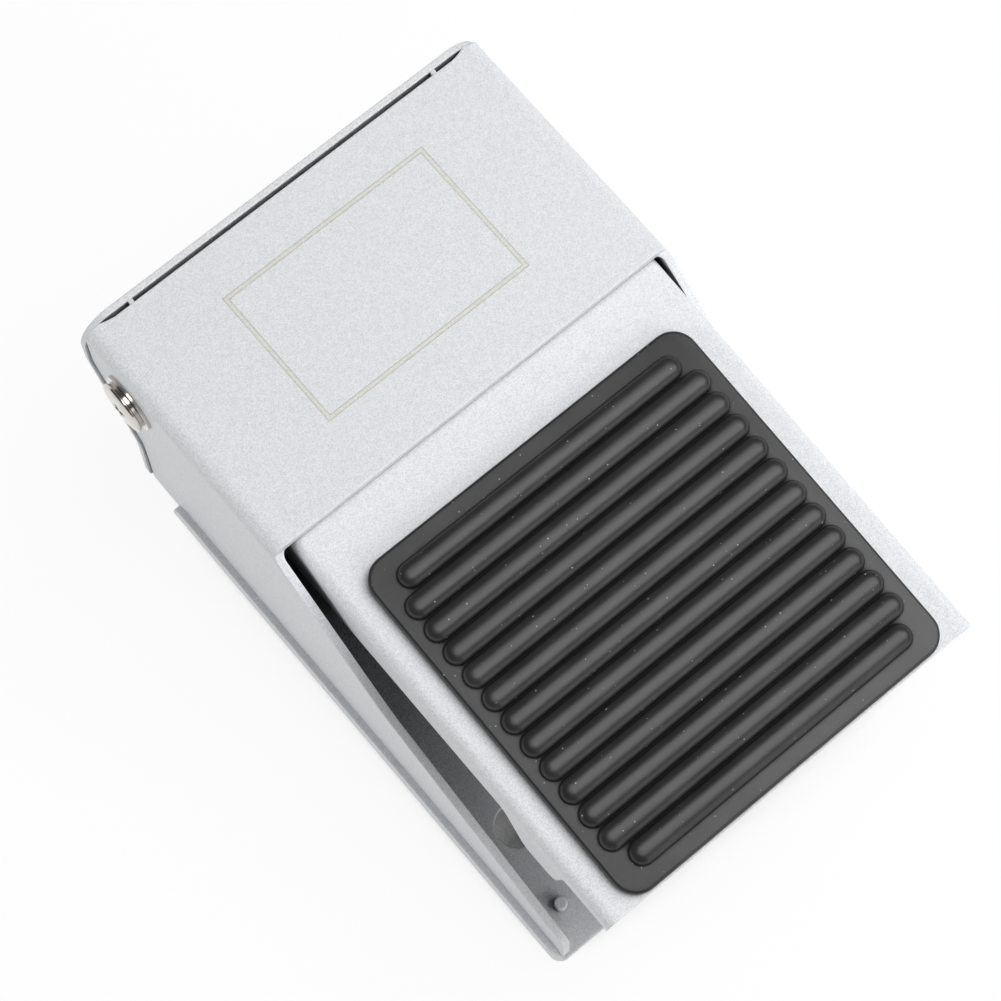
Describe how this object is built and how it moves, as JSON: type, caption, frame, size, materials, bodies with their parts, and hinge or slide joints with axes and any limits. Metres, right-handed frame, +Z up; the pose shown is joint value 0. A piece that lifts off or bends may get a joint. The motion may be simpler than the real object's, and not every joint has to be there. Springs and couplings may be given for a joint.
{
  "type": "foot pedal air valve",
  "caption": "Foot-operated spool air valve: sprung sheet-steel pedal with ribbed rubber tread under a bent hood, threaded ports at the rear.",
  "frame": {"origin": "on the ground under the middle of the part's box", "axes": "+X to the right of the pedal, +Y to the rear where the ports are, +Z up"},
  "size_m": [0.071, 0.1056, 0.0465],
  "materials": {
    "silver_paint": "fine-grained silver paint",
    "tread_rubber": "matt moulded rubber",
    "foot_rubber": "matt moulded rubber",
    "seal_rubber": "smooth seal rubber",
    "cast_aluminium": "bead-blasted",
    "turned_aluminium": "turned",
    "sintered_bronze": "sintered",
    "brass": "turned",
    "spring_steel": "drawn wire",
    "plated_steel": "bright nickel plate",
    "shaft_steel": "ground steel",
    "nylon": "moulded nylon"
  },
  "bodies": {
    "frame": {"base_plate": "silver_paint", "hood": "silver_paint", "valve_body": "cast_aluminium", "exhaust_silencers": "sintered_bronze", "gland_bush": "brass", "circlip": "spring_steel", "wiper_ring": "seal_rubber", "bottom_plug": "brass", "plug_seal": "seal_rubber", "valve_screws": "plated_steel", "pivot_shaft": "shaft_steel", "pivot_screw": "plated_steel", "spring_washer": "plated_steel", "flat_washer": "plated_steel", "rubber_feet": "foot_rubber", "foot_rivets": "silver_paint", "spool_spring": "spring_steel", "pedal_spring": "spring_steel"},
    "pedal": {"pedal_plate": "silver_paint", "tread_pad": "tread_rubber", "pivot_bushes": "sintered_bronze", "spring_cup": "shaft_steel"},
    "spool": {"spool": "turned_aluminium", "spool_seals": "seal_rubber", "push_cap": "nylon"}
  },
  "joints": [
    {"name": "pedal_hinge", "type": "hinge", "parent": "frame", "child": "pedal", "pos_m": [0.0005, 0.04304, 0.0385], "axis": [1, 0, 0], "range_deg": [0, 12], "stiffness_Nm_per_rad": 5, "springref_deg": -5.73, "deforming": ["pedal_spring"]},
    {"name": "spool_slide", "type": "slide", "parent": "frame", "child": "spool", "axis": [0, 0, -1], "range_m": [0, 0.0043], "stiffness_N_per_m": 300, "springref_m": -0.004, "deforming": ["spool_spring"]}
  ],
  "couplings": [
    {"joint": "spool_slide", "follows": "pedal_hinge", "m_per_rad": 0.0203}
  ]
}
